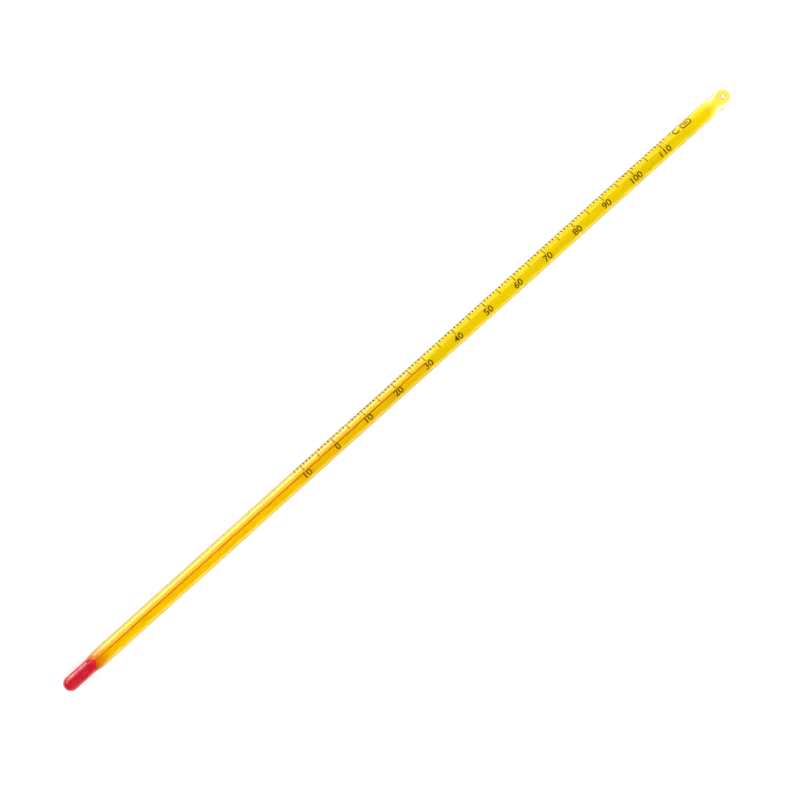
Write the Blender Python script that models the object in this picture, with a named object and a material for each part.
"""Yellow-back spirit thermometer for the darkroom: a 300 mm glass stem, red bulb and pinched hanging eye.

The thermometer lies on a table along X: bulb at -X, eye at +X, scale side up (+Z), table at Z = 0.
Lengths are in millimetres. A station is a distance along the stem from the tip of the bulb.
"""

import math

import bmesh
import bpy
from mathutils import Matrix

MM = 0.001

# Glass envelope
LENGTH = 300.0
STEM_RADIUS = 3.025
BULB_RADIUS = 2.55
SEAL = 10.6
FLARE_END = 14.4
EYE_START = 288.0
SIDES = 24

# Bore and spirit; the bore lies slightly to one side of the stem's axis, as drawn tube often has it
BORE_SHIFT = 0.15
BORE_RADIUS = 0.2
SPIRIT_CLEARANCE = 0.03
CAVITY_RADIUS = 2.25
CAVITY_TIP = 0.3
CONE_START = 10.3
CONE_TIP = 13.6
CHAMBER_RADIUS = 0.45
CHAMBER_START = 280.0
CHAMBER_LENGTH = 5.0

# Scale: where 0 degrees stands, millimetres to a degree, and the reading at rest
ZERO_STATION = 118.8
DEGREE_PITCH = 1.3564
REST_READING = 30.0
COLUMN_TOP_LENGTH = 40.0
MENISCUS_DEPTH = 0.1

# Enamel stripe, an arc of a tube round the stem's axis, behind the bore
ENAMEL_RADIUS = 2.05
ENAMEL_THICKNESS = 0.35
ENAMEL_HALF_ANGLE = math.radians(65)
ENAMEL_START = 11.4
ENAMEL_SEGMENTS = 12

# Pinched eye: a flat disc with a round hole
EYE_RADIUS = 3.35
EYE_HALF_THICKNESS = 1.1
EYE_FLAT_START = 295.6
EYE_FLAT_END = 298.4
EYE_HOLE_RADIUS = 0.7
EYE_ENAMEL_RADIUS = 2.35
EYE_ENAMEL_NECK = 1.3
EYE_ENAMEL_NECK_STATION = 292.4
HOLE_SIDES = 16

GAP = 0.05
PIECE_GAP = 0.1
OVERSHOOT = 1.0
WELD_DISTANCE = 1e-4

EYE_CENTRE = LENGTH - EYE_RADIUS
REST_LEVEL = ZERO_STATION + DEGREE_PITCH * REST_READING


def smooth_step(value, start, end):
    """0 before start, 1 after end, and an even curve between them."""
    share = min(max((value - start) / (end - start), 0.0), 1.0)
    return share * share * (3 - 2 * share)


def between(start, end, steps):
    """Evenly spaced values from start to end, both included."""
    return [start + (end - start) * i / steps for i in range(steps + 1)]


def make_material(name, colour, roughness, alpha=1.0, transmission=0.0, ior=1.5):
    """A Principled material with the part's colour and roughness."""
    material = bpy.data.materials.new(name)
    material.use_nodes = True
    shader = material.node_tree.nodes["Principled BSDF"]
    shader.inputs["Base Color"].default_value = (*colour, 1.0)
    shader.inputs["Roughness"].default_value = roughness
    shader.inputs["Metallic"].default_value = 0.0
    shader.inputs["Alpha"].default_value = alpha
    shader.inputs["Transmission Weight"].default_value = transmission
    shader.inputs["IOR"].default_value = ior
    material.diffuse_color = (*colour, alpha)
    return material


def finish_object(name, bm, material=None):
    """Turns a mesh drawn in millimetres about the stem's axis into a named object at its place."""
    bmesh.ops.remove_doubles(bm, verts=bm.verts, dist=WELD_DISTANCE)
    bmesh.ops.recalc_face_normals(bm, faces=bm.faces)
    placing = Matrix.Scale(MM, 4) @ Matrix.Translation((-LENGTH / 2, 0, STEM_RADIUS))
    bmesh.ops.transform(bm, matrix=placing, verts=bm.verts)
    mesh = bpy.data.meshes.new(name)
    bm.to_mesh(mesh)
    bm.free()
    obj = bpy.data.objects.new(name, mesh)
    bpy.context.scene.collection.objects.link(obj)
    if material:
        mesh.materials.append(material)
        mesh.shade_smooth()
        mesh.set_sharp_from_angle(angle=math.radians(35))
    return obj


def turned(profile, shift=0.0):
    """A mesh turned about a line along X; profile is (station, radius) and starts and ends on the axis.

    The radius is to the flats of the facets, and one flat faces straight down.
    """
    bm = bmesh.new()
    half_step = math.pi / SIDES
    points = [bm.verts.new((s, r * math.tan(half_step), -r)) for s, r in profile]
    lines = [bm.edges.new(pair) for pair in zip(points, points[1:])]
    full_turn = {"axis": (1, 0, 0), "cent": (0, 0, 0), "angle": math.tau, "steps": SIDES}
    bmesh.ops.spin(bm, geom=points + lines, **full_turn)
    bmesh.ops.translate(bm, verts=bm.verts, vec=(0, shift, 0))
    return bm


def round_end(tip, radius, steps):
    """Profile points of a half-round end that starts at its tip, on the axis."""
    angles = between(0, math.pi / 2, steps)
    return [(tip + radius * (1 - math.cos(a)), radius * math.sin(a)) for a in angles]


def hide_cutter(cutter):
    cutter.hide_render = True
    cutter.display_type = "WIRE"


def cut(obj, cutter):
    """Takes the cutter's shape out of the object."""
    hide_cutter(cutter)
    modifier = obj.modifiers.new("cut_" + cutter.name, "BOOLEAN")
    modifier.operation = "DIFFERENCE"
    modifier.solver = "EXACT"
    modifier.object = cutter


def enamel_half_width(station):
    """Half the stripe's width: even in the stem, narrow at the eye's neck, and a disc in the eye."""
    stem_width = ENAMEL_RADIUS * math.sin(ENAMEL_HALF_ANGLE)
    if station <= EYE_START:
        return stem_width
    neck = EYE_ENAMEL_NECK_STATION
    narrowed = stem_width + (EYE_ENAMEL_NECK - stem_width) * smooth_step(station, EYE_START, neck)
    beyond = station - EYE_CENTRE
    if beyond < 0:
        return narrowed + (EYE_ENAMEL_RADIUS - narrowed) * smooth_step(station, neck, EYE_CENTRE)
    return math.sqrt(max(EYE_ENAMEL_RADIUS**2 - beyond**2, 0.0))


def enamel_ribbon(name, stations, grow=0.0, material=None):
    """The enamel between the given stations: an arc behind the bore that lies flat inside the eye."""
    bm = bmesh.new()
    counts = {"x_segments": len(stations) - 1, "y_segments": ENAMEL_SEGMENTS}
    bmesh.ops.create_grid(bm, size=1.0, **counts)
    lowest_cosine = math.cos(ENAMEL_HALF_ANGLE)
    for vert in bm.verts:
        station = stations[round((vert.co.x + 1) / 2 * counts["x_segments"])]
        angle = vert.co.y * ENAMEL_HALF_ANGLE
        curl = 1 - smooth_step(station, EYE_START, EYE_FLAT_START)
        width = enamel_half_width(station) + grow
        bow = (math.cos(angle) - lowest_cosine) / (1 - lowest_cosine)
        edge_height = -ENAMEL_RADIUS * lowest_cosine
        sag = ENAMEL_RADIUS * (1 - lowest_cosine) * bow
        across = width * math.sin(angle) / math.sin(ENAMEL_HALF_ANGLE)
        vert.co = (station, across, curl * (edge_height - sag))
    obj = finish_object(name, bm, material)
    solidify = obj.modifiers.new("thickness", "SOLIDIFY")
    solidify.thickness = (ENAMEL_THICKNESS + 2 * grow) * MM
    solidify.offset = 0.0
    solidify.use_even_offset = True
    return obj


def inside_profile(clearance, end):
    """Half section of the hollow that holds the spirit: the bulb, its cone and the bore as far as end."""
    radius = CAVITY_RADIUS - clearance
    neck = BORE_RADIUS - clearance
    profile = round_end(CAVITY_TIP + clearance, radius, 6)
    return profile + [(CONE_START, radius), (CONE_TIP, neck), (end, neck)]


def inside_cutter():
    """The whole hollow, with the wider expansion chamber that ends the bore above the scale."""
    chamber_end = CHAMBER_START + CHAMBER_LENGTH
    chamber = [
        (CHAMBER_START + 2 * CHAMBER_RADIUS, CHAMBER_RADIUS),
        (chamber_end - CHAMBER_RADIUS, CHAMBER_RADIUS),
        (chamber_end, 0),
    ]
    profile = inside_profile(0, CHAMBER_START) + chamber
    return finish_object("inside_cutter", turned(profile, BORE_SHIFT))


def stem_glass(glass, inside):
    """The solid stem, flared from the bulb's width, with the slot that the enamel stripe fills."""
    start = SEAL + PIECE_GAP / 2
    end = EYE_START - PIECE_GAP / 2
    growth = STEM_RADIUS - BULB_RADIUS
    flare = [
        (s, BULB_RADIUS + growth * smooth_step(s, SEAL, FLARE_END))
        for s in between(start, FLARE_END, 6)
    ]
    profile = [(start, 0)] + flare + [(end, STEM_RADIUS), (end, 0)]
    stem = finish_object("stem_glass", turned(profile), glass)
    cut(stem, inside)
    slot_ends = [ENAMEL_START - PIECE_GAP, EYE_START]
    cut(stem, enamel_ribbon("slot_cutter", slot_ends, grow=GAP))


def enamel_stripe(enamel):
    """The yellow stripe that runs the length of the stem."""
    ends = [ENAMEL_START, EYE_START - 2 * PIECE_GAP]
    enamel_ribbon("enamel_stripe", ends, material=enamel)


def bulb_glass(glass, inside):
    """The thin bulb with its round tip, open where it is sealed to the stem."""
    end = SEAL - PIECE_GAP / 2
    profile = round_end(0, BULB_RADIUS, 7) + [(end, BULB_RADIUS), (end, 0)]
    bulb = finish_object("bulb_glass", turned(profile), glass)
    cut(bulb, inside)


def bulb_spirit(spirit):
    """The dyed spirit that fills the bulb and its cone."""
    end = CONE_TIP + PIECE_GAP
    profile = inside_profile(SPIRIT_CLEARANCE, end) + [(end, 0)]
    finish_object("bulb_spirit", turned(profile, BORE_SHIFT), spirit)


def spirit_thread(spirit):
    """The thread in the bore, from the bulb's cone to the foot of the column's top."""
    radius = BORE_RADIUS - SPIRIT_CLEARANCE
    start = CONE_TIP + 2 * PIECE_GAP
    end = REST_LEVEL - COLUMN_TOP_LENGTH - PIECE_GAP
    profile = [(start, 0), (start, radius), (end, radius), (end, 0)]
    finish_object("spirit_thread", turned(profile, BORE_SHIFT), spirit)


def column_top(spirit):
    """The top of the column, which moves along the bore; its meniscus is hollow, rim up the wall."""
    radius = BORE_RADIUS - SPIRIT_CLEARANCE
    start = REST_LEVEL - COLUMN_TOP_LENGTH
    meniscus = [(REST_LEVEL, radius), (REST_LEVEL - MENISCUS_DEPTH, 0)]
    profile = [(start, 0), (start, radius)] + meniscus
    finish_object("column_top", turned(profile, BORE_SHIFT), spirit)


def pinch(bm):
    """Squeezes a turned blank flat towards the eye, and spreads it to the eye's round outline."""
    for vert in bm.verts:
        station = vert.co.x
        flat = smooth_step(station, EYE_START, EYE_FLAT_START)
        rounding = smooth_step(station, EYE_FLAT_END, LENGTH)
        limit = STEM_RADIUS + (EYE_HALF_THICKNESS - STEM_RADIUS) * flat
        limit -= EYE_HALF_THICKNESS / 3 * rounding
        beyond = station - EYE_CENTRE
        half_width = STEM_RADIUS + (EYE_RADIUS - STEM_RADIUS) * flat
        if beyond > 0:
            half_width = math.sqrt(max(EYE_RADIUS**2 - beyond**2, 0.0))
        vert.co.y *= half_width / STEM_RADIUS
        vert.co.z = max(-limit, min(limit, vert.co.z))


def eye_hole_cutter(name, radius):
    """A round bar through the eye, from face to face."""
    bm = bmesh.new()
    depth = 2 * EYE_HALF_THICKNESS + 2 * OVERSHOOT
    size = {"segments": HOLE_SIDES, "radius1": radius, "radius2": radius, "depth": depth}
    bmesh.ops.create_cone(bm, cap_ends=True, **size)
    bmesh.ops.translate(bm, verts=bm.verts, vec=(EYE_CENTRE, 0, 0))
    return finish_object(name, bm)


def eye_stations(radius, steps):
    """Stations round the outer half of a disc centred on the eye, short of its last point."""
    last = math.radians(80)
    return [EYE_CENTRE + radius * math.sin(a) for a in between(0, last, steps)]


def eye_glass(glass):
    """The end of the stem, pinched into a flat round eye with a hole to hang it by."""
    start = EYE_START + PIECE_GAP / 2
    stations = between(start, EYE_CENTRE, 10)[:-1] + eye_stations(EYE_RADIUS, 7)
    profile = [(start, 0)] + [(s, STEM_RADIUS) for s in stations] + [(stations[-1], 0)]
    blank = turned(profile)
    pinch(blank)
    stretch_tip(blank, stations[-1])
    eye = finish_object("eye_glass", blank, glass)
    pocket_ends = [EYE_START - OVERSHOOT] + eye_enamel_stations()
    cut(eye, enamel_ribbon("pocket_cutter", pocket_ends, grow=GAP))
    cut(eye, eye_hole_cutter("eye_hole_cutter", EYE_HOLE_RADIUS))


def stretch_tip(bm, station):
    """Brings the middle of the end cap out to the full length."""
    for vert in bm.verts:
        on_axis = math.hypot(vert.co.y, vert.co.z) < WELD_DISTANCE
        if on_axis and vert.co.x > station - WELD_DISTANCE:
            vert.co.x = LENGTH


def eye_enamel_stations():
    """Stations of the enamel in the eye, from the end of the stem's stripe to its rounded end."""
    return between(EYE_START, EYE_CENTRE, 10)[:-1] + eye_stations(EYE_ENAMEL_RADIUS, 6)


def eye_enamel(enamel):
    """The end of the stripe, squeezed flat and wide between the eye's two faces."""
    tail = enamel_ribbon("eye_enamel", eye_enamel_stations(), material=enamel)
    cut(tail, eye_hole_cutter("enamel_hole_cutter", EYE_HOLE_RADIUS + PIECE_GAP))


def build():
    for obj in list(bpy.data.objects):
        bpy.data.objects.remove(obj, do_unlink=True)
    glass = make_material("clear_stem_glass", (0.93, 0.95, 0.93), 0.02, alpha=0.35, transmission=1.0)
    enamel = make_material("yellow_enamel", (0.96, 0.66, 0.02), 0.3)
    spirit = make_material("red_spirit", (0.56, 0.01, 0.02), 0.1)
    inside = inside_cutter()
    stem_glass(glass, inside)
    enamel_stripe(enamel)
    bulb_glass(glass, inside)
    bulb_spirit(spirit)
    spirit_thread(spirit)
    column_top(spirit)
    eye_glass(glass)
    eye_enamel(enamel)


build()
